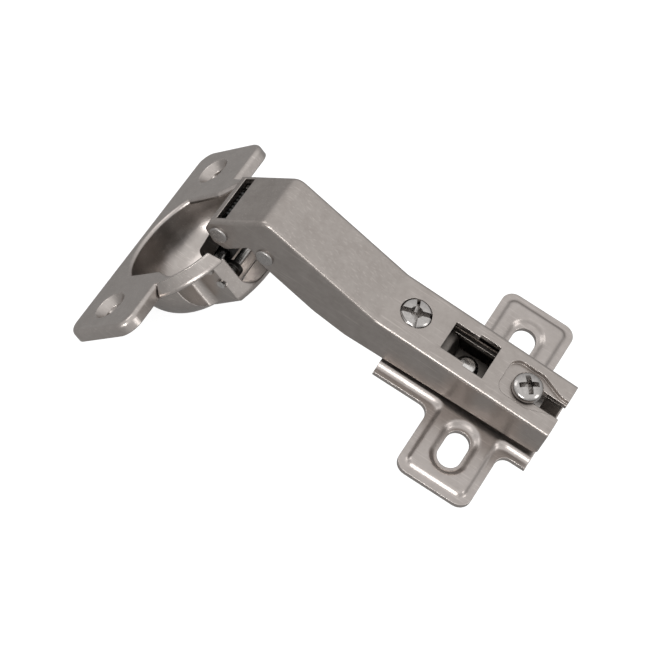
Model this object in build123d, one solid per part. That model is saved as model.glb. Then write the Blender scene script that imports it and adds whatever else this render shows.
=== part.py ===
from build123d import *
import os
from math import cos, hypot, radians, sin

# Concealed cabinet hinge with a cranked arm, standing open, on its slide-on mounting plate.
# X runs along the arm to its rear end, Y along the hinge pins, Z up from the cabinet side.
# The origin is on the plate's underside, midway between the two screw slots.

# Sheet, clearances and the arm's half width, which the spine and the links take theirs from
sheet = 1.2
running_gap = 0.06
thread_gap = 0.12
side_gap = 0.3
spine_gap = 0.45
arm_half = 7.55

# Mounting plate
slot_spacing = 32.0
slot_width = 5.6
slot_length = 9.8
dish_width = 7.8
dish_length = 12.8
rail_front = 24.0
rail_rear = 15.4
rail_half = 10.4
wing_half_x = 9.2
wing_half_y = 27.3
plate_corner = 3.0
plate_hollow_corner = 2.6
emboss = 1.0
rim_band = 1.6
emboss_slope = 40.0

# Spine on the plate, with its lanced tongue and rivet
spine_half = arm_half - sheet - spine_gap
spine_top = 10.55
spine_nose = 26.2
spine_window_front = -13.6
spine_window_rear = -2.4
spine_window_half = 3.9
tongue_drop = 3.9
tongue_half = 3.5
boss_x = -7.4
boss_radius = 4.6
rivet_shank = 1.6
rivet_head = 2.8
rivet_dome = 1.3
spine_slot_front = 0.0
spine_slot_half = 2.35

# Clamp nut and fixing screw
fixing_x = 6.3
nut_length = 9.0
nut_half = spine_half - sheet - side_gap
nut_height = 3.0
fixing_shank = 2.0
fixing_head = 3.55
fixing_head_height = 2.3
fixing_length = 7.2

# Side-adjusting screw, set back from the spine's nose
side_set_back = 3.5
side_x = side_set_back - spine_nose
side_radius = 3.55
side_proud = 0.45
side_neck = 1.6
side_collar = 2.9
side_collar_height = 1.0
nose_slot_half = 1.9

# Hinge arm
arm_rear_x = 15.6
arm_rear_top = 13.3
arm_tilt = 1.8
tilt_play = 1.2
arm_rear_bottom = 4.3
arm_front_bottom = 3.1
knee_x = -28.8
crown = (-59.6, 23.8)
tip = (-71.4, 12.4)
crank_radius = 3.2
fold_radius = 1.0
window_front = -14.3
window_step = -8.2
window_rear = -3.1
window_half = 3.9
window_wide = 4.7
pocket_front = 0.4
pocket_half = 4.9
pocket_depth = 1.1
pocket_turn = 8.2
prong_x = 13.6
prong_half = 2.7
tip_window_start = 12.4
tip_window_end = 15.2
screw_collar_wall = 1.0
screw_collar_height = 1.2

# Arm pins
arm_pin_a = (29.6, 3.2)
arm_pin_b = (37.8, -5.0)
pin_radius = 1.5
pin_head = 2.15
pin_head_height = 0.6

# Cup, measured along the flange from the line of the two screw holes, and square to it
cup_origin = (-82.2, -16.3)
cup_angle = 56.0
cup_hole_spacing = 45.0
cup_centre = 9.5
cup_radius = 17.4
cup_depth = 11.5
flange_height = 3.0
cup_bottom_round = 10.0
flange_back = 9.6
flange_front = 12.3
flange_half = 30.5
flange_corner = 4.0
flange_fold = 1.1
opening_half = 12.0
opening_flare = (14.5, 14.8)
opening_roll = 0.9
lip_reach = 2.0
lip_radius = cup_radius + lip_reach
lip_sweep = 80.0
countersink_radius = 4.1
cup_hole_radius = 2.6
cup_hole_land = 1.0
notch_half = 7.6
notch_floor = -13.0
notch_round = 3.6
pad_half = 10.4
pad_back = 15.5
pad_bottom_round = 1.8
cup_pin_a = (22.5, -8.05)
cup_pin_b = (22.05, -3.8)
cup_pin_radius = 1.05
cup_pin_proud = 0.5

# Links
outer_link_half = arm_half - sheet - side_gap
outer_link_eye = 2.5
outer_link_foot = 2.2
outer_link_knee = (18.0, -3.12)
outer_link_waist = 2.4
outer_web_line = [(25.9, 2.9), (15.6, -2.7), (19.6, -7.1)]
inner_link_half = outer_link_half - sheet - spine_gap
inner_link_eye = 3.5
inner_link_foot = 2.55
inner_link_neck = (32.3, -1.5)
inner_link_throat = (25.0, -1.6)
inner_link_waist = 1.7
open_pivot_gap = 0.85

# Closing spring
spring_wire = 0.5
spring_half = inner_link_half - 0.2
spring_turns = 7
spring_coil = 2.1


def cup_place():
    """Where the cup's own frame stands in the hinge's frame."""
    along = (cos(radians(cup_angle)), 0, sin(radians(cup_angle)))
    away = (-sin(radians(cup_angle)), 0, cos(radians(cup_angle)))
    return Plane(origin=(cup_origin[0], 0, cup_origin[1]), x_dir=along, z_dir=away).location


def from_cup(point):
    """A point of the cup's frame, given along and square to the flange, as x and z."""
    angle = radians(cup_angle)
    x = cup_origin[0] + point[0] * cos(angle) - point[1] * sin(angle)
    z = cup_origin[1] + point[0] * sin(angle) + point[1] * cos(angle)
    return x, z


def outline(corners):
    """A closed face from corners given as x, y and the radius that rounds each."""
    face = make_face(Polyline([(c[0], c[1]) for c in corners], close=True))
    for x, y, radius in corners:
        if radius > 0:
            corner = face.vertices().sort_by_distance((x, y, 0))[0]
            face = fillet(corner, radius)
    return face


def block(x0, x1, y_half, z0, z1):
    """A box between two x values and two heights, centred on Y."""
    size = (x1 - x0, 2 * y_half, z1 - z0)
    return Pos((x0 + x1) / 2, 0, (z0 + z1) / 2) * Box(*size)


def side_solid(face, half):
    """A side outline in x and z drawn out to both sides of the middle."""
    return extrude(Plane.XZ * face, half, both=True)


def cross_rod(point, radius, y0, y1):
    """A round rod along Y through a point given as x and z."""
    start = Plane(origin=(point[0], y0, point[1]), x_dir=(1, 0, 0), z_dir=(0, 1, 0))
    return extrude(start * Circle(radius), y1 - y0)


def arm_top(x):
    """Height of the arm's top face behind the knee."""
    return arm_rear_top + (arm_rear_x - x) * sin(radians(arm_tilt))


def plate_outline(inset):
    """The mounting plate's plan, a rail crossed by two wings."""
    x = wing_half_x - inset
    y = wing_half_y - inset
    front = inset - rail_front
    rear = rail_rear - inset
    half = rail_half - inset
    outer = plate_corner - inset / 2
    hollow = plate_hollow_corner + inset / 2
    near = [(front, -half, outer), (-x, -half, hollow), (-x, -y, outer), (x, -y, outer), (x, -half, hollow),
            (rear, -half, outer)]
    far = [(corner[0], -corner[1], corner[2]) for corner in reversed(near)]
    return outline(near + far)


def mounting_plate():
    """Pressed plate with a raised middle, dished slots and a boss for the rivet."""
    plate = extrude(plate_outline(0), sheet)
    plate += Pos(0, 0, sheet) * extrude(plate_outline(rim_band), emboss, taper=emboss_slope)
    plate -= extrude(plate_outline(rim_band + sheet / 2), emboss, taper=emboss_slope)
    boss_top = spine_top - sheet - tongue_drop
    boss = Pos(boss_x, 0, sheet) * Cone(boss_radius, boss_radius * 0.8, boss_top - sheet,
                                        align=(Align.CENTER, Align.CENTER, Align.MIN))
    plate += boss
    plate -= Pos(boss_x, 0, 0) * Cone(boss_radius - 0.9 * sheet, boss_radius * 0.8 - sheet, boss_top - sheet,
                                      align=(Align.CENTER, Align.CENTER, Align.MIN))
    plate -= Pos(boss_x, 0, 0) * Cylinder(rivet_shank + running_gap, 2 * boss_top)
    for side in (-1, 1):
        middle = Pos(0, side * slot_spacing / 2, 0)
        turned = middle * Rot(0, 0, 90)
        wide = SlotOverall(dish_length + 2 * sheet, dish_width + 2 * sheet)
        plate += turned * extrude(wide, sheet)
        dish = SlotOverall(dish_length, dish_width)
        plate -= turned * Pos(0, 0, sheet) * extrude(dish, emboss + sheet, taper=-emboss_slope / 2)
        plate -= turned * extrude(SlotOverall(slot_length, slot_width), 2 * sheet)
    return plate


def plate_spine():
    """Folded channel that the arm rides on, slotted for both screws."""
    base = sheet + emboss
    shell = block(-spine_nose, rail_rear - 0.4, spine_half, base, spine_top)
    long_edges = shell.edges().filter_by(Axis.X).group_by(Axis.Z)[-1]
    shell = fillet(long_edges, fold_radius)
    shell -= block(-spine_nose - 1, rail_rear + 1, spine_half - sheet, base - 1, spine_top - sheet)
    nose = outline([(-spine_nose - 1, base - 1, 0), (-rail_front + rim_band + emboss, base - 1, 0),
                    (-rail_front + rim_band + emboss, base + 2.2, 0), (-spine_nose - 1, base + 5.4, 0)])
    shell -= side_solid(nose, arm_half)
    shell -= block(spine_window_front, spine_window_rear, spine_window_half, spine_top - 2 * sheet, spine_top + 1)
    tongue_z = spine_top - tongue_drop
    tongue = outline([(spine_window_front - 0.4, spine_top - sheet, 0), (spine_window_front - 0.4, spine_top, 0),
                      (spine_window_front + 1.0, spine_top, 1.0), (spine_window_front + 2.6, tongue_z, 1.0),
                      (spine_window_rear - 0.7, tongue_z, 0), (spine_window_rear - 0.7, tongue_z - sheet, 0),
                      (spine_window_front + 1.9, tongue_z - sheet, 1.6), (spine_window_front + 0.4, spine_top - sheet, 0)])
    shell += side_solid(tongue, tongue_half)
    shell -= Pos(boss_x, 0, tongue_z) * Cylinder(rivet_shank + running_gap, 4 * sheet)
    slot_run = rail_rear + 1 - spine_slot_front - spine_slot_half
    shell -= block(rail_rear + 1 - slot_run, rail_rear + 1, spine_slot_half, spine_top - 2 * sheet, spine_top + 1)
    shell -= Pos(rail_rear + 1 - slot_run, 0, spine_top) * Cylinder(spine_slot_half, 4 * sheet)
    shell -= block(-spine_nose - 1, side_x + 2.4, nose_slot_half, spine_top - 2 * sheet, spine_top + 1)
    shell -= Pos(side_x + 2.4, 0, spine_top) * Cylinder(nose_slot_half, 4 * sheet)
    return shell


def plate_rivet():
    """Domed rivet that holds the spine's tongue down on the plate's boss."""
    tongue_z = spine_top - tongue_drop
    boss_top = tongue_z - sheet
    under = boss_top - sheet
    profile = outline([(0, under - 0.9, 0), (rivet_shank + 0.7, under - 0.9, 0.3),
                       (rivet_shank + 0.7, under, 0), (rivet_shank, under, 0),
                       (rivet_shank, tongue_z, 0), (rivet_head, tongue_z, 0),
                       (rivet_head - 0.1, tongue_z + 0.45, 0), (rivet_head * 0.7, tongue_z + 0.8 * rivet_dome, 0.5),
                       (0, tongue_z + rivet_dome, 0)])
    return Pos(boss_x, 0, 0) * revolve(Plane.XZ * profile, Axis.Z)


def clamp_nut():
    """Square nut under the spine's top that the fixing screw draws up."""
    top = spine_top - sheet - running_gap
    nut = block(fixing_x - nut_length / 2, fixing_x + nut_length / 2, nut_half, top - nut_height, top)
    nut = chamfer(nut.edges().filter_by(Axis.Z), 0.6)
    guide_half = spine_slot_half - side_gap / 2
    guide = block(fixing_x - 3.0, fixing_x + 3.0, guide_half, top - 0.1, top + sheet * 0.6)
    nut += fillet(guide.edges().filter_by(Axis.Z), 0.8)
    return nut - Pos(fixing_x, 0, top) * Cylinder(fixing_shank + thread_gap, 4 * nut_height)


def fixing_screw():
    """Pan-headed machine screw with a cross recess, down through the arm's pocket."""
    seat = arm_top(fixing_x) - pocket_depth + fixing_head * sin(radians(arm_tilt + tilt_play)) + running_gap
    stem = outline([(0, seat - fixing_length, 0), (fixing_shank - 0.5, seat - fixing_length, 0),
                    (fixing_shank, seat - fixing_length + 0.5, 0), (fixing_shank, seat, 0),
                    (fixing_head, seat, 0), (fixing_head, seat + fixing_head_height * 0.45, 0.5),
                    (fixing_head * 0.66, seat + fixing_head_height * 0.93, 1.6), (0, seat + fixing_head_height, 0)])
    screw = revolve(Plane.XZ * stem, Axis.Z)
    crown_z = seat + fixing_head_height
    for turn in (0, 90):
        wing = outline([(-2.1, 0.1, 0), (2.1, 0.1, 0), (0.7, -1.7, 0), (-0.7, -1.7, 0)])
        bar = extrude(Plane.XZ * wing, 0.38, both=True)
        screw -= Pos(0, 0, crown_z) * Rot(0, 0, turn + 38) * bar
    return Pos(fixing_x, 0, 0) * screw


def side_screw():
    """Set screw that lifts the arm, with its neck held in the spine's nose."""
    top = arm_top(side_x) + side_proud
    neck_top = spine_top + running_gap
    collar_top = spine_top - sheet - running_gap
    profile = outline([(0, collar_top - side_collar_height, 0), (side_collar, collar_top - side_collar_height, 0.3),
                       (side_collar, collar_top, 0), (side_neck, collar_top, 0), (side_neck, neck_top, 0),
                       (side_radius - 0.5, neck_top, 0), (side_radius, neck_top + 0.5, 0),
                       (side_radius, top - 0.4, 0), (side_radius - 0.4, top, 0), (0, top, 0)])
    screw = revolve(Plane.XZ * profile, Axis.Z)
    for turn in (12, 102):
        screw -= Pos(0, 0, top) * Rot(0, 0, turn) * Box(2 * side_radius + 1, 0.8, 2.2)
    return Pos(side_x, 0, 0) * screw


def arm_line():
    """The bent line of the arm's top face, from its rear end to its tip."""
    return [(arm_rear_x, arm_rear_top), (knee_x, arm_top(knee_x)), crown, tip]


def arm_side():
    """The arm's side wall, with the hollow between its two pin eyes."""
    eye_a = from_cup(arm_pin_a)
    eye_b = from_cup(arm_pin_b)
    rear, knee, top, end = arm_line()
    face = outline([(rear[0], rear[1], 0), (knee[0], knee[1], crank_radius), (top[0], top[1], crank_radius),
                    (end[0], end[1], 0), (eye_a[0] - 3.4, eye_a[1] - 0.8, 1.0), (eye_a[0] - 0.6, eye_a[1] - 3.6, 1.5),
                    (eye_a[0] + 2.6, eye_a[1] - 3.6, 1.5), (eye_b[0] - 3.6, eye_b[1] + 0.3, 1.4),
                    (eye_b[0] - 1.0, eye_b[1] - 2.9, 2.2), (knee[0] - 13.6, arm_front_bottom + 1.4, 8),
                    (knee[0] - 5.0, arm_front_bottom, 8), (rear[0], arm_rear_bottom, 1.5)])
    return face


def arm_hollow():
    """The open inside of the channel, one sheet under the arm's top."""
    rear, knee, top, end = arm_line()
    spare = 12.0
    grow = spare / hypot(end[0] - top[0], end[1] - top[1])
    beyond = (end[0] + grow * (end[0] - top[0]), end[1] + grow * (end[1] - top[1]))
    behind = (rear[0] + spare, rear[1] - spare * sin(radians(arm_tilt)))
    face = outline([(*behind, 0), (*knee, crank_radius), (*top, crank_radius), (*beyond, 0),
                    (beyond[0], -spare, 0), (behind[0], -spare, 0)])
    return offset(face, -sheet)


def on_fold(edge):
    """Whether an edge is one of the two long folds between the web and the side walls."""
    middle = edge @ 0.5
    if abs(abs(middle.Y) - arm_half) > 0.01 or abs(edge.length) < 2:
        return False
    rear, knee, top, end = arm_line()
    for start, stop in ((rear, knee), (knee, top), (top, end)):
        run = hypot(stop[0] - start[0], stop[1] - start[1])
        away = ((middle.X - start[0]) * (stop[1] - start[1]) - (middle.Z - start[1]) * (stop[0] - start[0])) / run
        if abs(away) < 0.6 and stop[0] - 1 < middle.X < start[0] + 1:
            return True
    return False


def hinge_arm():
    """One folded channel, cranked twice, with its windows, pocket and pin holes."""
    arm = side_solid(arm_side(), arm_half) - side_solid(arm_hollow(), arm_half - sheet)
    folds = [edge for edge in arm.edges() if on_fold(edge)]
    arm = fillet(folds, fold_radius)
    arm -= block(window_front, window_rear, window_half, 8, 20)
    arm -= block(window_step, window_rear, window_wide, 8, 20)
    arm = arm_pocket(arm)
    arm -= Pos(side_x, 0, arm_top(side_x)) * Cylinder(side_radius + thread_gap, 4 * sheet)
    ring = Cylinder(side_radius + thread_gap + screw_collar_wall, screw_collar_height + 0.2)
    ring -= Cylinder(side_radius + thread_gap, screw_collar_height + 2)
    arm += Pos(side_x, 0, arm_top(side_x) - sheet - screw_collar_height / 2 + 0.1) * ring
    arm -= tip_window()
    for eye in (arm_pin_a, arm_pin_b):
        arm -= cross_rod(from_cup(eye), pin_radius + running_gap, -arm_half - 1, arm_half + 1)
    return arm


def arm_pocket(arm):
    """Presses the screw pocket into the arm's web and slots its floor to the rear."""
    plan = outline([(pocket_front, -pocket_half, 2.6), (pocket_turn, -pocket_half, 2.0), (prong_x, -prong_half, 1.6),
                    (arm_rear_x + 2, -prong_half, 0), (arm_rear_x + 2, prong_half, 0), (prong_x, prong_half, 1.6),
                    (pocket_turn, pocket_half, 2.0), (pocket_front, pocket_half, 2.6)])
    lean = Pos(0, 0, arm_top(0)) * Rot(0, arm_tilt, 0)
    arm -= lean * Pos(0, 0, -sheet) * extrude(plan, 3 * sheet)
    floor = lean * Pos(0, 0, -pocket_depth - sheet) * extrude(offset(plan, 0.6), sheet)
    floor &= block(pocket_front - 1, arm_rear_x, arm_half - sheet, 0, 20)
    arm += floor
    shank = fixing_shank + running_gap
    arm -= block(fixing_x, arm_rear_x + 1, shank, 5, 20)
    return arm - Pos(fixing_x, 0, 10) * Cylinder(shank, 10)


def tip_window():
    """The slot behind the tip's bridge, where the spring shows."""
    dx = tip[0] - crown[0]
    dz = tip[1] - crown[1]
    run = hypot(dx, dz)
    frame = Plane(origin=(crown[0], 0, crown[1]), x_dir=(dx / run, 0, dz / run), z_dir=(dz / run, 0, -dx / run))
    middle = (tip_window_start + tip_window_end) / 2
    size = (tip_window_end - tip_window_start, 2 * (arm_half - sheet), 4 * sheet)
    return frame.location * Pos(middle, 0, 0) * Box(*size)


def arm_pin(eye):
    """Headed pin through both side walls."""
    point = from_cup(eye)
    pin = cross_rod(point, pin_radius, -arm_half, arm_half)
    for side in (-1, 1):
        face = side * arm_half
        head = cross_rod(point, pin_head, min(face, face + side * pin_head_height), max(face, face + side * pin_head_height))
        rim = head.edges().filter_by(GeomType.CIRCLE).sort_by(Axis.Y)[-1 if side > 0 else 0]
        pin += fillet(rim, 0.4)
    return pin


def closing_spring():
    """Coil of the torsion spring round the front pin."""
    x, z = from_cup(arm_pin_a)
    length = 2 * (spring_half - spring_wire)
    path = Helix(length / spring_turns, length, spring_coil)
    start = path @ 0
    ring = Plane(origin=start, z_dir=path % 0) * Circle(spring_wire)
    coil = sweep(ring, path=path, is_frenet=True)
    coil = Pos(x, length / 2, z) * Rot(90, 0, 0) * coil
    return coil


def cup_shell(inset):
    """The bowl below the flange's top, a dome with a squarer box for the pins on the arm's side."""
    radius = cup_radius - inset
    floor = inset - flange_height - cup_depth
    profile = outline([(0, floor, 0), (radius, floor, cup_bottom_round - inset), (radius, -inset, 0), (0, -inset, 0)])
    bowl = Pos(cup_centre, 0, 0) * revolve(Plane.XZ * profile, Axis.Z)
    for side in (-1, 1):
        y0 = side * (pad_half - inset + 10)
        pad = Pos(pad_back - inset + 10, y0, -flange_height - 10 + inset) * Box(20, 20, 20)
        bowl -= fillet(pad.edges().filter_by(Axis.Z), 2.0)
    box = block(pad_back - 1.5, cup_centre + radius, pad_half - inset, floor, -inset)
    box &= Pos(cup_centre, 0, 0) * Cylinder(radius, 4 * cup_depth)
    box = fillet(box.edges().group_by(Axis.Z)[0], pad_bottom_round - inset / 2)
    return bowl + box


def lip():
    """The rolled lip on the arm's side, from its crest down to the door's face."""
    crest = cup_radius - sheet
    profile = outline([(crest, 0, 0), (crest + 1.2, 0, 1.0), (lip_radius, -flange_height + 0.7, 1.2),
                       (lip_radius, -flange_height, 0), (lip_radius - sheet, -flange_height, 0),
                       (lip_radius - sheet - 0.4, -flange_height + 0.7, 0.8), (crest + 0.9, -sheet, 0.5),
                       (crest, -sheet, 0)])
    turned = Pos(cup_centre, 0, 0) * Rot(0, 0, -lip_sweep) * revolve(Plane.XZ * profile, Axis.Z, 2 * lip_sweep)
    return turned


def cup_opening():
    """The bowl's mouth in the flange, a circle trimmed along both wings and flared to the lip."""
    x, half = opening_flare
    sides = [(-cup_radius, opening_half), (cup_centre, opening_half + 0.6), (x, half), (cup_centre + cup_radius, half)]
    corners = [(cx, -cy, 0) for cx, cy in sides] + [(cx, cy, 0) for cx, cy in reversed(sides)]
    return Pos(cup_centre, 0) * Circle(cup_radius - sheet) & outline(corners)


def flange_outline(inset):
    """The flange's plan between its two rounded ends."""
    middle = (flange_front - flange_back) / 2
    plan = Pos(middle, 0) * Rectangle(flange_front + flange_back - 2 * inset, 2 * (flange_half - inset))
    return fillet(plan.vertices(), flange_corner - inset)


def hinge_cup():
    """Drawn cup with its folded flange, rolled lip, pin pads and screw holes."""
    tray = Pos(0, 0, -flange_height) * extrude(flange_outline(0), flange_height)
    tray = fillet(tray.edges().group_by(Axis.Z)[-1], flange_fold)
    tray -= Pos(0, 0, -flange_height) * extrude(flange_outline(sheet), flange_height - sheet)
    cup = tray + lip() + cup_shell(0)
    cup -= cup_shell(sheet) - block(-20, opening_flare[0], 40, -sheet, 1)
    cup -= Pos(0, 0, -flange_height) * extrude(cup_opening(), flange_height + 1)
    mouth = [edge for edge in cup.edges().group_by(Axis.Z)[-1]
             if hypot((edge @ 0.5).X - cup_centre, (edge @ 0.5).Y) < cup_radius - sheet / 2]
    cup = fillet(mouth, opening_roll)
    cup -= block(opening_flare[0], cup_centre + 24, pad_half - sheet, -flange_height - 0.3, 2)
    notch = outline([(-notch_half, 0, 0), (-notch_half, notch_floor, notch_round), (notch_half, notch_floor, notch_round),
                     (notch_half, 0, 0)])
    cup -= Pos(cup_centre + 10, 0, 0) * extrude(Plane.YZ * notch, 20)
    for side in (-1, 1):
        hole = Pos(0, side * cup_hole_spacing / 2, 0)
        cup += hole * Pos(0, 0, -flange_height) * Cone(cup_hole_radius + 0.9, countersink_radius, flange_height - 0.6,
                                                       align=(Align.CENTER, Align.CENTER, Align.MIN))
        cup -= hole * Pos(0, 0, -flange_height + cup_hole_land) * Cone(
            cup_hole_radius, countersink_radius, flange_height - cup_hole_land,
            align=(Align.CENTER, Align.CENTER, Align.MIN))
        cup -= hole * Cylinder(cup_hole_radius, 4 * flange_height)
    for eye in (cup_pin_a, cup_pin_b):
        cup -= cross_rod(eye, cup_pin_radius + running_gap, -pad_half - 2, pad_half + 2)
    return cup_place() * cup.solids().sort_by(SortBy.VOLUME)[-1]


def cup_pin():
    """One wire bent to a U, whose two legs carry the links."""
    far = pad_half + cup_pin_radius
    wire = cross_rod(cup_pin_a, cup_pin_radius, -pad_half - cup_pin_proud, far)
    wire += cross_rod(cup_pin_b, cup_pin_radius, -pad_half - cup_pin_proud, far)
    start = Vector(cup_pin_a[0], far, cup_pin_a[1])
    end = Vector(cup_pin_b[0], far, cup_pin_b[1])
    bridge = Plane(origin=start, z_dir=end - start)
    wire += extrude(bridge * Circle(cup_pin_radius), (end - start).length)
    for point in (start, end):
        wire += Pos(*point) * Sphere(cup_pin_radius)
    return cup_place() * wire


def strap(points, waist, eyes):
    """A link's side outline: a bent strap with a round eye at each end."""
    body = trace(FilletPolyline(*points, radius=waist * 0.8), waist)
    for centre, radius in eyes:
        body += Pos(*centre) * Circle(radius)
    return body


def outer_link():
    """Steel link from the arm's front pin to the cup, bent round the other cup pin and folded to a channel."""
    side = strap([arm_pin_a, outer_link_knee, cup_pin_a], outer_link_waist,
                 [(arm_pin_a, outer_link_eye), (cup_pin_a, outer_link_foot)])
    web = trace(FilletPolyline(*outer_web_line, radius=2.4), sheet * 0.8)
    link = side_solid(side + web, outer_link_half) - side_solid(side + web, outer_link_half - sheet)
    link += side_solid(web, outer_link_half)
    link -= cross_rod(arm_pin_a, pin_radius + running_gap, -arm_half, arm_half)
    link -= cross_rod(cup_pin_a, cup_pin_radius + running_gap, -arm_half, arm_half)
    return cup_place() * link


def inner_link():
    """Black goose-necked link that reaches over the door's edge to the rear pin."""
    side = strap([arm_pin_b, inner_link_neck, inner_link_throat, cup_pin_b], inner_link_waist,
                 [(arm_pin_b, inner_link_eye), (cup_pin_b, inner_link_foot)])
    link = side_solid(side, inner_link_half)
    link -= cross_rod(arm_pin_b, pin_radius + running_gap, -arm_half, arm_half)
    link -= cross_rod(cup_pin_b, cup_pin_radius + open_pivot_gap, -arm_half, arm_half)
    return cup_place() * link


def main():
    os.makedirs("parts", exist_ok=True)
    pieces = {
        "mounting_plate": mounting_plate(),
        "plate_spine": plate_spine(),
        "plate_rivet": plate_rivet(),
        "clamp_nut": clamp_nut(),
        "fixing_screw": fixing_screw(),
        "side_screw": side_screw(),
        "hinge_arm": hinge_arm(),
        "front_arm_pin": arm_pin(arm_pin_a),
        "rear_arm_pin": arm_pin(arm_pin_b),
        "closing_spring": closing_spring(),
        "outer_link": outer_link(),
        "inner_link": inner_link(),
        "hinge_cup": hinge_cup(),
        "cup_pin": cup_pin(),
    }
    for name, solid in pieces.items():
        export_step(solid, f"parts/{name}.step")


main()
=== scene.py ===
import math

import bmesh
import bpy
import numpy as np
from mathutils import Matrix, Vector


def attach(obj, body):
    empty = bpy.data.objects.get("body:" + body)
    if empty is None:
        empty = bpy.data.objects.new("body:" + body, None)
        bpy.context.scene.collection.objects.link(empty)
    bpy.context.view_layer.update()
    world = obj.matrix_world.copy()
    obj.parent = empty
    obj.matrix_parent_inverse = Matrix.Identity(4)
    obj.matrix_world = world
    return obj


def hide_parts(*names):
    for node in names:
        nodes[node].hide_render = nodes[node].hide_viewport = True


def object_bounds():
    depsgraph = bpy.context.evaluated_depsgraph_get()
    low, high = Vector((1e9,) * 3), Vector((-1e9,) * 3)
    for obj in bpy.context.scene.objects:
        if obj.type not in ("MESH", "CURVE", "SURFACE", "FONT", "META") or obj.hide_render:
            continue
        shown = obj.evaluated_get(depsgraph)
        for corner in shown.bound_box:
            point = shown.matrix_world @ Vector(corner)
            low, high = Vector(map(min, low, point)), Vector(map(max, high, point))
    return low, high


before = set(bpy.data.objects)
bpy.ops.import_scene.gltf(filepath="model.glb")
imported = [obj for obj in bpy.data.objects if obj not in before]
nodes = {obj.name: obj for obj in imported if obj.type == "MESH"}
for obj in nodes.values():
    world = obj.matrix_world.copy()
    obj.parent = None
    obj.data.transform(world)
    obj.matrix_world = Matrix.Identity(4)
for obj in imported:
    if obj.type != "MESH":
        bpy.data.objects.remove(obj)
cad_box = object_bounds()


# Mounting plate
# Cold-rolled steel strip, blanked, embossed and slotted in a press, tumbled and nickel plated.
# The plating is satin, with faint rolling lines and a slightly uneven bloom.
class Signal:
    """One socket of a material, whose arithmetic adds Math nodes."""

    def __init__(self, tree, socket=None):
        self.tree = tree
        self.socket = socket

    def plug(self, target, value):
        """Links a signal to a socket, or sets the socket to a plain value."""
        if isinstance(value, Signal):
            self.tree.links.new(value.socket, target)
        else:
            target.default_value = value

    def node(self, kind, settings, inputs, output=0):
        """Adds a node from its type, its settings and the values or links of its sockets."""
        made = self.tree.nodes.new(kind)
        for key, value in settings.items():
            setattr(made, key, value)
        for key, value in inputs.items():
            self.plug(made.inputs[key], value)
        return Signal(self.tree, made.outputs[output])

    def maths(self, operation, first, second):
        return self.node("ShaderNodeMath", {"operation": operation}, {0: first, 1: second})

    def __add__(self, other):
        return self.maths("ADD", self, other)

    def __radd__(self, other):
        return self.maths("ADD", other, self)

    def __sub__(self, other):
        return self.maths("SUBTRACT", self, other)

    def __rsub__(self, other):
        return self.maths("SUBTRACT", other, self)

    def __mul__(self, other):
        return self.maths("MULTIPLY", self, other)

    def __rmul__(self, other):
        return self.maths("MULTIPLY", other, self)


def new_finish(name, metallic=1.0):
    """An empty material with its Principled shader."""
    material = bpy.data.materials.new(name)
    material.use_nodes = True
    shader = material.node_tree.nodes["Principled BSDF"]
    shader.inputs["Metallic"].default_value = metallic
    return material, shader, Signal(material.node_tree)


def grain(signal, place, scale, detail, roughness):
    """Noise over a surface, finer as its scale grows."""
    return signal.node("ShaderNodeTexNoise", {}, {
        "Vector": place, "Scale": scale, "Detail": detail, "Roughness": roughness})


def rising(signal, value, start, end):
    """A mask that goes from nought to one as a value goes from start to end."""
    return signal.node("ShaderNodeMapRange", {}, {
        "Value": value, "From Min": start, "From Max": end})


def blended(signal, mask, under, over):
    """One colour where the mask is nought, and another where it is one."""
    factor, colour_under, colour_over, colour_out = 0, 6, 7, 2
    return signal.node("ShaderNodeMix", {"data_type": "RGBA"}, {
        factor: mask, colour_under: under, colour_over: over}, colour_out)


def worn_edges(signal, radius, untouched, rubbed):
    """How far an edge is rubbed, by how much its softened normal turns, and that normal."""
    soft = signal.node("ShaderNodeBevel", {"samples": 6}, {"Radius": radius})
    true = signal.node("ShaderNodeNewGeometry", {}, {}, "Normal")
    turn = signal.node("ShaderNodeVectorMath", {"operation": "DOT_PRODUCT"}, {
        0: soft, 1: true}, "Value")
    return rising(signal, turn, untouched, rubbed), soft


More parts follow.
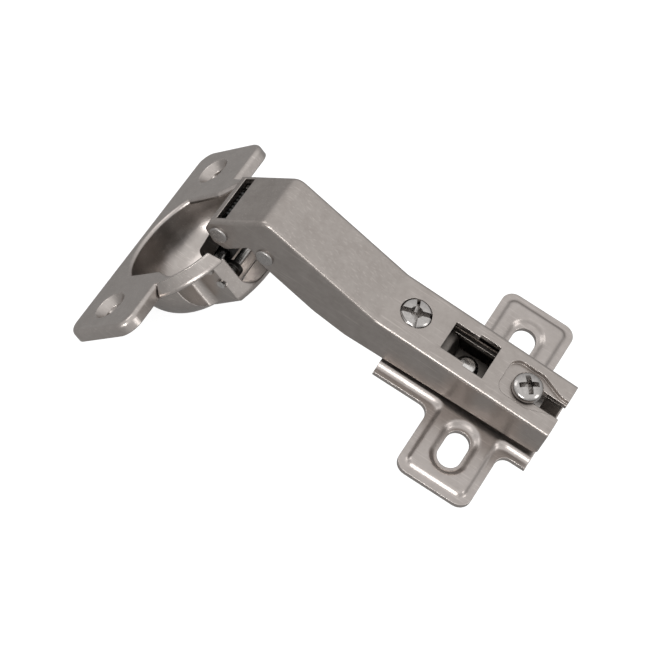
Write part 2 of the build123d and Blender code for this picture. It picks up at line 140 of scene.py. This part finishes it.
def satin_plate(name, tone, bloom, rough):
    """Satin nickel: a cloudy bloom, rolling lines, pits, scratches and rubbed edges."""
    rolled_along = (40, 900, 900)
    scratched_along = (70, 2600, 1900)
    scratch_turn = (0.3, 0.2, 0.9)
    cloud_share = 0.55
    scratch_share = 0.3
    rubbed_gain = 1.55
    edge_radius = 0.00035
    edge_flat = 0.998
    edge_turned = 0.80
    mottle_dulls = 0.1
    line_dulls = 0.04
    rubbing_shines = 0.08
    pit_height, line_height, mottle_height = 0.5, 0.3, 0.6

    material, shader, signal = new_finish(name)
    place = signal.node("ShaderNodeTexCoord", {}, {}, "Object")
    rolled = signal.node("ShaderNodeMapping", {}, {"Vector": place, "Scale": rolled_along})
    crossed = signal.node("ShaderNodeMapping", {}, {
        "Vector": place, "Rotation": scratch_turn, "Scale": scratched_along})
    cloud = grain(signal, place, 260, 5, 0.6)
    lines = grain(signal, rolled, 3, 3, 0.5)
    pits = grain(signal, place, 4200, 2, 0.5)
    mottle = grain(signal, place, 900, 4, 0.7)
    scored = rising(signal, grain(signal, crossed, 1.6, 2, 0.4), 0.60, 0.70)
    bloomed = rising(signal, cloud * cloud_share + mottle * (1 - cloud_share), 0.34, 0.66)
    edge, soft = worn_edges(signal, edge_radius, edge_flat, edge_turned)

    colour = blended(signal, bloomed, (*tone, 1), (*bloom, 1))
    rubbed = tuple(min(1.0, rubbed_gain * part) for part in bloom)
    colour = blended(signal, edge * mottle + scored * scratch_share, colour, (*rubbed, 1))
    signal.plug(shader.inputs["Base Color"], colour)
    dulled = mottle * mottle_dulls + lines * line_dulls - edge * rubbing_shines
    signal.plug(shader.inputs["Roughness"], rough - mottle_dulls / 2 + dulled)
    height = pits * pit_height + lines * line_height + mottle * mottle_height
    bump = signal.node("ShaderNodeBump", {}, {
        "Strength": 0.18, "Distance": 0.00004, "Height": height, "Normal": soft})
    signal.plug(shader.inputs["Normal"], bump)
    return material


def dress(node, material):
    """Gives a CAD node one material all over."""
    nodes[node].data.materials.clear()
    nodes[node].data.materials.append(material)


plate_tone = (0.375, 0.340, 0.318)
plate_bloom = (0.450, 0.412, 0.390)
plate_finish = satin_plate("plate_satin_nickel", plate_tone, plate_bloom, 0.30)

# Meshes made here are sized in millimetres.
metre = 1000


def finished(name, shape):
    """A mesh object from a bmesh, with its faces turned outwards."""
    bmesh.ops.recalc_face_normals(shape, faces=shape.faces)
    mesh = bpy.data.meshes.new(name)
    shape.to_mesh(mesh)
    shape.free()
    piece = bpy.data.objects.new(name, mesh)
    bpy.context.scene.collection.objects.link(piece)
    return piece


def rounded(corners, steps=7):
    """A closed outline from corners given as x, y and the radius that rounds each."""
    points = []
    for here, (x, y, radius) in enumerate(corners):
        corner = Vector((x, y))
        if radius == 0:
            points.append(corner)
            continue
        before = (Vector(corners[here - 1][:2]) - corner).normalized()
        after = (Vector(corners[(here + 1) % len(corners)][:2]) - corner).normalized()
        half = before.angle(after) / 2
        centre = corner + (before + after).normalized() * radius / math.sin(half)
        first = corner + before * radius / math.tan(half) - centre
        last = corner + after * radius / math.tan(half) - centre
        for step in range(steps + 1):
            blend = first.slerp(last, step / steps)
            points.append(centre + blend.normalized() * radius)
    return points


def prism(name, points, low, high):
    """A flat outline in millimetres drawn up between two heights."""
    shape = bmesh.new()
    rim = [shape.verts.new((point.x / metre, point.y / metre, low / metre)) for point in points]
    bottom = shape.faces.new(rim)
    raised = bmesh.ops.extrude_face_region(shape, geom=[bottom])
    tops = [item for item in raised["geom"] if isinstance(item, bmesh.types.BMVert)]
    bmesh.ops.translate(shape, verts=tops, vec=(0, 0, (high - low) / metre))
    return finished(name, shape)


def machine(piece, tool, operation="DIFFERENCE"):
    """Cuts a piece with a tool, which is used up."""
    knife = piece.modifiers.new("cut", "BOOLEAN")
    knife.operation = operation
    knife.object = tool
    knife.solver = "EXACT"
    bpy.context.view_layer.update()
    cut = piece.evaluated_get(bpy.context.evaluated_depsgraph_get())
    done = bpy.data.meshes.new_from_object(cut)
    piece.modifiers.clear()
    piece.data = done
    bpy.data.objects.remove(tool)


def smoothed(piece, material, body, node, sharp=32):
    """Rounds a piece's shading and sets it, finished, on its body in a CAD node's place."""
    piece.data.shade_smooth()
    piece.data.set_sharp_from_angle(angle=math.radians(sharp))
    piece.data.materials.clear()
    piece.data.materials.append(material)
    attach(piece, body)
    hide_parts(node)


plate_sheet = 1.2
plate_ends = (-24.0, 15.4)
rail_half = 10.4
wing_half = (9.2, 27.3)
wing_tip = 3.0
wing_root = 2.6
slot_place = 16.0
slot_half = (2.8, 4.9)
slot_corner = 2.79
slot_steps = 10

# The embossed step starts inside a flat rim, and fades out in a dish round each slot.
emboss_rise = 1.0
emboss_rim = 1.25
emboss_width = 1.45
emboss_rail_end = 60.0
emboss_rail_corner = 3.0
emboss_wing_corner = 3.6
emboss_join = 5.2
emboss_join_swell = 2.6
dish_straight = 2.5
dish_radius = 3.1
dish_width = 1.7

boss_place = -7.4
boss_top = 5.45
boss_radius = 3.7
boss_slope = 4.6
rivet_hole_radius = 1.66
rivet_hole_sides = 32

sheet_grid = 0.3
sheet_margin = 1
press_low, press_high = -2, 8


def eased(value):
    """A step from nought to one with a rounded foot and shoulder."""
    held = np.clip(value, 0, 1)
    return held * held * (3 - 2 * held)


def inside(x, y, half_x, half_y, corner):
    """How far a point lies inside a rectangle with rounded corners."""
    over_x = np.abs(x) - half_x + corner
    over_y = np.abs(y) - half_y + corner
    outer = np.hypot(np.maximum(over_x, 0), np.maximum(over_y, 0))
    return corner - outer - np.minimum(np.maximum(over_x, over_y), 0)


def plate_top(x, y):
    """Height of the pressed top: rim, rounded step, a dish round each slot, rivet's boss."""
    rail = inside(x, y, emboss_rail_end, rail_half, emboss_rail_corner)
    wing = inside(x, y, *wing_half, emboss_wing_corner)
    share = np.clip(0.5 + (rail - wing) / emboss_join, 0, 1)
    depth = wing + (rail - wing) * share + emboss_join_swell * share * (1 - share)
    along = np.maximum(np.abs(np.abs(y) - slot_place) - dish_straight, 0)
    step = eased((depth - emboss_rim) / emboss_width)
    dish = eased((np.hypot(x, along) - dish_radius) / dish_width)
    boss = boss_top - (np.hypot(x - boss_place, y) - boss_radius) * boss_slope
    return np.maximum(plate_sheet + emboss_rise * step * dish, np.minimum(boss, boss_top))


def pressed_plate():
    """The embossed sheet, blanked to its outline and pierced."""
    front, rear = plate_ends
    half_x, half_y = wing_half
    xs = np.arange(front - sheet_margin, rear + sheet_margin + sheet_grid, sheet_grid)
    ys = np.arange(-half_y - sheet_margin, half_y + sheet_margin + sheet_grid, sheet_grid)
    x, y = np.meshgrid(xs, ys, indexing="ij")
    top = plate_top(x, y)
    rows, columns = x.shape
    layers = [np.stack((x, y, height), -1).reshape(-1, 3) for height in (top, top - plate_sheet)]
    corner = np.arange(rows - 1)[:, None] * columns + np.arange(columns - 1)[None, :]
    corner = corner.reshape(-1)
    upper = np.stack((corner, corner + columns, corner + columns + 1, corner + 1), -1)
    faces = upper.tolist() + (upper[:, ::-1] + x.size).tolist()
    rim = [row * columns for row in range(rows)]
    rim += [(rows - 1) * columns + column for column in range(1, columns)]
    rim += [row * columns + columns - 1 for row in range(rows - 2, -1, -1)]
    rim += list(range(columns - 2, 0, -1))
    for at, here in enumerate(rim):
        faces.append((rim[at - 1], here, here + x.size, rim[at - 1] + x.size))
    mesh = bpy.data.meshes.new("pressed_plate")
    mesh.from_pydata((np.concatenate(layers) / metre).tolist(), [], faces)
    piece = bpy.data.objects.new("pressed_plate", mesh)
    bpy.context.scene.collection.objects.link(piece)

    near = [(front, -rail_half, 0), (-half_x, -rail_half, wing_root),
            (-half_x, -half_y, wing_tip), (half_x, -half_y, wing_tip),
            (half_x, -rail_half, wing_root), (rear, -rail_half, 0)]
    far = [(along, -across, radius) for along, across, radius in reversed(near)]
    blank = prism("blank", rounded(near + far), press_low, press_high)
    machine(piece, blank, "INTERSECT")
    slot_x, slot_y = slot_half
    for middle in (-slot_place, slot_place):
        slot = [(-slot_x, middle - slot_y, slot_corner), (slot_x, middle - slot_y, slot_corner),
                (slot_x, middle + slot_y, slot_corner), (-slot_x, middle + slot_y, slot_corner)]
        machine(piece, prism("slot", rounded(slot, slot_steps), press_low, press_high))
    hole = []
    for side in range(rivet_hole_sides):
        turn = 2 * math.pi * side / rivet_hole_sides
        hole.append(Vector((boss_place + rivet_hole_radius * math.cos(turn),
                            rivet_hole_radius * math.sin(turn))))
    machine(piece, prism("rivet_hole", hole, press_low, press_high))
    return piece


smoothed(pressed_plate(), plate_finish, "base", "mounting_plate")

# Plate spine and its rivet
# The spine is the same strip, folded to a channel and held to the plate by a domed rivet.
# Its colour is darkened as painted shade, for the shade inside the arm where it is seen.
# Darker tones: painted shade for the inside of the arm.
spine_shaded_tone = (0.13, 0.118, 0.108)
spine_shaded_bloom = (0.18, 0.165, 0.152)
dress("plate_spine", satin_plate("spine_nickel_painted_shade", spine_shaded_tone, spine_shaded_bloom, 0.36))


def bright_zinc(name, tone, rough):
    """Bright plating on a small part, with darker and duller scuffs."""
    scuff_shade = 0.8
    scuff_dulls = 0.12

    material, shader, signal = new_finish(name)
    place = signal.node("ShaderNodeTexCoord", {}, {}, "Object")
    scuff = grain(signal, place, 1600, 5, 0.65)
    scuffed = rising(signal, scuff, 0.42, 0.66)
    worn = tuple(scuff_shade * part for part in tone)
    colour = blended(signal, scuffed, (*tone, 1), (*worn, 1))
    signal.plug(shader.inputs["Base Color"], colour)
    signal.plug(shader.inputs["Roughness"], rough + scuffed * scuff_dulls)
    bump = signal.node("ShaderNodeBump", {}, {
        "Strength": 0.15, "Distance": 0.00003, "Height": scuff})
    signal.plug(shader.inputs["Normal"], bump)
    return material


# The rivet's tone is partly its bright zinc and partly a painted highlight on its dome.
rivet_lit_tone = (0.66, 0.64, 0.62)
dress("plate_rivet", bright_zinc("rivet_zinc_painted_highlight", rivet_lit_tone, 0.2))

# Clamp nut and fixing screw
# A square steel nut and a cold-headed machine screw with a cross recess, bright zinc plated.
# The screw's thread is rolled, and its domed head clamps the arm's pocket to the spine.
screw_tone = (0.46, 0.44, 0.425)
screw_zinc = bright_zinc("screw_bright_zinc", screw_tone, 0.18)
dress("clamp_nut", bright_zinc("nut_zinc", screw_tone, 0.3))


def turned(name, place, profile, pitch=1, groove=0, steps=72):
    """A turned body, from the radius and height of each ring and whether it is threaded."""
    shape = bmesh.new()
    rings = []
    for radius, height, threaded in profile:
        ring = []
        for step in range(steps):
            turn = 2 * math.pi * step / steps
            phase = (height / pitch - step / steps) % 1
            reach = radius - (groove * abs(2 * phase - 1) if threaded else 0)
            ring.append(shape.verts.new((
                (place[0] + reach * math.cos(turn)) / metre,
                (place[1] + reach * math.sin(turn)) / metre, height / metre)))
        rings.append(ring)
    for lower, upper in zip(rings, rings[1:]):
        for step in range(steps):
            beside = (step + 1) % steps
            shape.faces.new((lower[step], lower[beside], upper[beside], upper[step]))
    shape.faces.new(rings[0])
    shape.faces.new(rings[-1])
    return finished(name, shape)


def taper(name, place, turn, top, bottom, high, low):
    """A bar that narrows downwards, from its half length and half width at both heights."""
    shape = bmesh.new()
    for (length, width), height in ((top, high), (bottom, low)):
        for side_x, side_y in ((-1, -1), (1, -1), (1, 1), (-1, 1)):
            x = side_x * length
            y = side_y * width
            shape.verts.new((
                (place[0] + x * math.cos(turn) - y * math.sin(turn)) / metre,
                (place[1] + x * math.sin(turn) + y * math.cos(turn)) / metre, height / metre))
    bmesh.ops.convex_hull(shape, input=shape.verts)
    return finished(name, shape)


fixing_place = (6.3, 0.0)
fixing_seat = 12.738
point_radius, point_depth = 1.5, 7.2
lead_radius, lead_depth = 1.95, 6.8
thread_radius, thread_depth = 2.0, 6.7
thread_step, thread_rings = 0.1, 58
thread_pitch, thread_groove = 0.7, 0.3
neck_radius, neck_depth = 1.9, 0.8
head_radius = 3.55
head_foot = 0.2
head_wall = 0.85
head_dome = 1.45
dome_rings = 14
# Half length and half width of each wing of the recess.
cross_turns = (38, 128)
cross_mouth = (2.75, 0.64)
cross_floor = (1.1, 0.40)
cross_depth = 2.2
cutter_over = 0.3

fixing_top = fixing_seat + head_wall + head_dome
shank = [(point_radius, fixing_seat - point_depth, False),
         (lead_radius, fixing_seat - lead_depth, False)]
shank += [(thread_radius, fixing_seat - thread_depth + thread_step * ring, True)
          for ring in range(thread_rings)]
shank += [(neck_radius, fixing_seat - neck_depth, False), (neck_radius, fixing_seat, False)]
head = [(head_radius - head_foot, fixing_seat, False),
        (head_radius, fixing_seat + head_foot, False)]
for ring in range(dome_rings):
    rise = ring * math.pi / (2 * dome_rings)
    head.append((head_radius * math.cos(rise),
                 fixing_seat + head_wall + head_dome * math.sin(rise), False))
fixing_piece = turned("fixing_screw_turned", fixing_place, shank + head,
                      thread_pitch, thread_groove)
for turn in cross_turns:
    wing = taper("wing", fixing_place, math.radians(turn), cross_mouth, cross_floor,
                 fixing_top + cutter_over, fixing_top - cross_depth)
    machine(fixing_piece, wing)
smoothed(fixing_piece, screw_zinc, "fixing", "fixing_screw")

# Side-adjusting screw
# A short set screw with two crossed slots and a deep centre, turned and zinc plated.
# Its rolled thread runs in the arm's web, and its collar is held in the spine's nose.
side_place = (-22.7, 0.0)
side_top = 14.953
collar_low, collar_high = 8.29, 9.29
collar_radius = 2.9
collar_bevel = 0.3
held_radius = 1.6
body_low = 10.61
body_end_radius = 3.05
crown_radius, crown_depth = 3.25, 0.12
side_radius, side_thread_low = 3.55, 10.9
side_step, side_rings = 0.09, 42
side_pitch, side_groove = 0.75, 0.38
# Turn in degrees and half width of each slot.
side_slots = ((20, 0.62), (110, 0.42))
side_slot_half = 4.0
side_slot_narrowing = 0.8
side_slot_depth = 1.9
centre_floor, centre_depth = 0.9, 2.6
centre_mouth, centre_over = 1.5, 0.2

grub = [(collar_radius - collar_bevel, collar_low, False),
        (collar_radius, collar_low + collar_bevel, False), (collar_radius, collar_high, False),
        (held_radius, collar_high, False), (held_radius, body_low, False),
        (body_end_radius, body_low, False)]
grub += [(side_radius, side_thread_low + side_step * ring, True) for ring in range(side_rings)]
grub += [(crown_radius, side_top - crown_depth, False), (body_end_radius, side_top, False)]
side_piece = turned("side_screw_turned", side_place, grub, side_pitch, side_groove)
for turn, width in side_slots:
    slot = taper("slot", side_place, math.radians(turn), (side_slot_half, width),
                 (side_slot_half, width * side_slot_narrowing),
                 side_top + cutter_over, side_top - side_slot_depth)
    machine(side_piece, slot)
centre = [(centre_floor, side_top - centre_depth, False),
          (centre_mouth, side_top + centre_over, False)]
machine(side_piece, turned("centre", side_place, centre, steps=24))
side_zinc = bright_zinc("side_screw_zinc", screw_tone, 0.24)
smoothed(side_piece, side_zinc, "side_adjuster", "side_screw")

# Hinge arm
# One steel blank folded to a channel and cranked twice, nickel plated after folding.
# Its rear end is pressed to a pocket for the fixing screw's head.
arm_tone = (0.335, 0.302, 0.280)
arm_bloom = (0.405, 0.370, 0.346)
dress("hinge_arm", satin_plate("arm_satin_nickel", arm_tone, arm_bloom, 0.29))

# Arm pins
# Plated steel pins, riveted over outside the arm's side walls.
# The links turn on them, and the closing spring is wound round the front one.
pin_tone = (0.42, 0.40, 0.385)
pin_finish = bright_zinc("pin_nickel", pin_tone, 0.27)
dress("front_arm_pin", pin_finish)
dress("rear_arm_pin", pin_finish)


# Closing spring and inner link
# The coil is oil-blackened spring wire, and the inner link is black-finished pressed steel.
def black_finish(name, tone, rough, metallic):
    """Black oxide with a slight oily sheen and rubbed spots."""
    rubbed_gain = 2.4
    patch_dulls = 0.15

    material, shader, signal = new_finish(name, metallic)
    place = signal.node("ShaderNodeTexCoord", {}, {}, "Object")
    patch = grain(signal, place, 700, 5, 0.6)
    rubbed = tuple(min(1.0, rubbed_gain * part) for part in tone)
    colour = blended(signal, rising(signal, patch, 0.45, 0.75), (*tone, 1), (*rubbed, 1))
    signal.plug(shader.inputs["Base Color"], colour)
    signal.plug(shader.inputs["Roughness"], rough + patch * patch_dulls)
    bump = signal.node("ShaderNodeBump", {}, {
        "Strength": 0.2, "Distance": 0.00003, "Height": patch})
    signal.plug(shader.inputs["Normal"], bump)
    return material


spring_tone = (0.012, 0.012, 0.012)
inner_tone = (0.014, 0.013, 0.013)
dress("closing_spring", black_finish("spring_black_oil", spring_tone, 0.22, 0.6))
dress("inner_link", black_finish("inner_link_black", inner_tone, 0.30, 0.4))

# Outer link
# Blanked and folded steel, coloured near black, far darker than the arm; the dark is partly
# painted shade for the shade round its web.
# It turns on the front arm pin and reaches into the cup.
# Near-black tones: partly painted shade where the web lies in shadow.
outer_shaded_tone = (0.050, 0.047, 0.044)
outer_shaded_bloom = (0.082, 0.077, 0.072)
dress("outer_link", satin_plate("outer_link_steel", outer_shaded_tone, outer_shaded_bloom, 0.30))

# Hinge cup and its wire pin
# The cup is deep drawn from one strip, its flange edges folded down, and nickel plated.
# Its pin is one length of bright wire, bent to a U, that carries both links; its colour is made
# brighter as painted light, so its end shows bright in the shade between the pads.
cup_tone = (0.400, 0.364, 0.340)
cup_bloom = (0.475, 0.438, 0.412)
# The wire's tone is raised as painted light, to stand in for the glint on its shaded end.
wire_lit_tone = (0.62, 0.60, 0.58)
dress("hinge_cup", satin_plate("cup_satin_nickel", cup_tone, cup_bloom, 0.28))
dress("cup_pin", bright_zinc("cup_pin_nickel_painted_light", wire_lit_tone, 0.2))


# Floor and light
# A pale sheet under the hinge, a soft box before it and one at each side, a white surround.
def seen_directly(signal):
    """How much white the sheet adds: most to the camera, little in the metal's reflections."""
    to_camera = 0.82
    in_metal = 0.06
    through_glass = 0.82

    camera = signal.node("ShaderNodeLightPath", {}, {}, "Is Camera Ray")
    glossy = signal.node("ShaderNodeLightPath", {}, {}, "Is Glossy Ray")
    through = signal.node("ShaderNodeLightPath", {}, {}, "Is Transmission Ray")
    return camera * to_camera + glossy * in_metal + through * through_glass


floor_gap = 0.004
floor_half = 3.0
floor_grey = (0.33, 0.33, 0.33, 1)
black = (0, 0, 0, 1)
white = (1, 1, 1, 1)
floor_height = min(corner[2] for corner in cad_box) - floor_gap
bpy.ops.mesh.primitive_plane_add(size=2 * floor_half, location=(0, 0, floor_height))
floor = bpy.context.object
floor.name = "floor"
floor_finish, floor_shader, floor_signal = new_finish("floor_paper", 0.0)
floor_shader.inputs["Base Color"].default_value = floor_grey
floor_shader.inputs["Roughness"].default_value = 0.9
floor_shader.inputs["Specular IOR Level"].default_value = 0.1
floor_shader.inputs["Emission Strength"].default_value = 1.0
lit = blended(floor_signal, seen_directly(floor_signal), black, white)
floor_signal.plug(floor_shader.inputs["Emission Color"], lit)
floor.data.materials.append(floor_finish)

# Height of a direction, and how strongly the surround lights the hinge from there.
surround_low = (-0.1, 0.45)
surround_high = (0.9, 1.08)
surround_seen = 1.0
world = bpy.data.worlds.new("studio")
bpy.context.scene.world = world
world.use_nodes = True
surround = Signal(world.node_tree)
background = world.node_tree.nodes["Background"]
background.inputs["Color"].default_value = white
facing = surround.node("ShaderNodeTexCoord", {}, {}, "Generated")
height = surround.node("ShaderNodeSeparateXYZ", {}, {"Vector": facing}, "Z")
lighting = surround.node("ShaderNodeMapRange", {}, {
    "Value": height, "From Min": surround_low[0], "From Max": surround_high[0],
    "To Min": surround_low[1], "To Max": surround_high[1]})
straight = surround.node("ShaderNodeLightPath", {}, {}, "Is Camera Ray")
factor, lit_by, seen_as = 0, 2, 3
level = surround.node("ShaderNodeMix", {"data_type": "FLOAT"}, {
    factor: straight, lit_by: lighting, seen_as: surround_seen})
surround.plug(background.inputs["Strength"], level)


def soft_box(name, place, aim, size, watts):
    """An oblong studio light that faces a point."""
    lamp = bpy.data.lights.new(name, "AREA")
    lamp.shape = "RECTANGLE"
    lamp.size, lamp.size_y = size
    lamp.energy = watts
    holder = bpy.data.objects.new(name, lamp)
    holder.location = place
    holder.rotation_euler = (Vector(aim) - Vector(place)).to_track_quat("-Z", "Y").to_euler()
    bpy.context.scene.collection.objects.link(holder)


middle = (-0.035, 0, 0)
soft_box("front", (-0.08, -0.74, 0.42), middle, (0.5, 0.14), 2.4)
soft_box("left", (-0.75, 0.10, 0.50), middle, (0.4, 0.4), 0.8)
soft_box("right", (0.70, 0.10, 0.45), middle, (0.3, 0.3), 0.8)

# Camera
# It looks down on the hinge from its pin side, turned so that the arm runs down to the right.
camera_target = Vector((-0.0387, -0.0063, 0))
camera_distance = 0.5927
camera_azimuth = math.radians(-7.6)
camera_elevation = math.radians(58.5)
camera_roll = math.radians(26.2)
camera_focal = 148.5

sight = Vector((math.sin(camera_azimuth) * math.cos(camera_elevation),
                math.cos(camera_azimuth) * math.cos(camera_elevation),
                -math.sin(camera_elevation)))
level_right = Vector((math.cos(camera_azimuth), -math.sin(camera_azimuth), 0))
level_up = level_right.cross(sight)
right = level_right * math.cos(camera_roll) + level_up * math.sin(camera_roll)
up = level_up * math.cos(camera_roll) - level_right * math.sin(camera_roll)
lens = bpy.data.cameras.new("camera")
lens.lens = camera_focal
lens.sensor_width = 36
lens.clip_start = 0.01
viewer = bpy.data.objects.new("camera", lens)
bpy.context.scene.collection.objects.link(viewer)
facing_camera = Matrix((right, up, -sight)).transposed().to_4x4()
viewer.matrix_world = Matrix.Translation(camera_target - sight * camera_distance) @ facing_camera
bpy.context.scene.camera = viewer
bpy.context.scene.view_settings.view_transform = "Standard"
